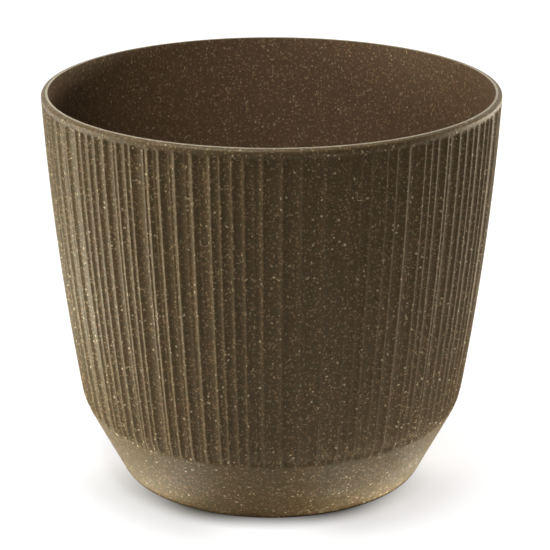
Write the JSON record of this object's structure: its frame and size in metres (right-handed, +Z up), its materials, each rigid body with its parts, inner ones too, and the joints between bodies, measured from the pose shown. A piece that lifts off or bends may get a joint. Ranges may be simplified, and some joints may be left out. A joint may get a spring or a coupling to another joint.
{
  "type": "plant pot",
  "caption": "Round tapered plant pot with upright flutes of uneven width, a plain cone foot and a lift-out drain plug in the floor",
  "frame": {"origin": "centre of the foot ring, on the ground", "axes": "+Z up along the pot's axis, -Y towards the viewer of the picture, +X to that viewer's right"},
  "size_m": [0.1898, 0.1898, 0.1655],
  "materials": {
    "wood_composite": "satin-matte brown plastic with pale wood-fibre specks",
    "soft_plug": "matte"
  },
  "bodies": {
    "pot": {"pot_shell": "wood_composite"},
    "plug": {"drain_plug": "soft_plug"}
  },
  "joints": [
    {"name": "plug_lift", "type": "slide", "parent": "pot", "child": "plug", "axis": [0, 0, 1], "range_m": [0, 0.172]}
  ]
}
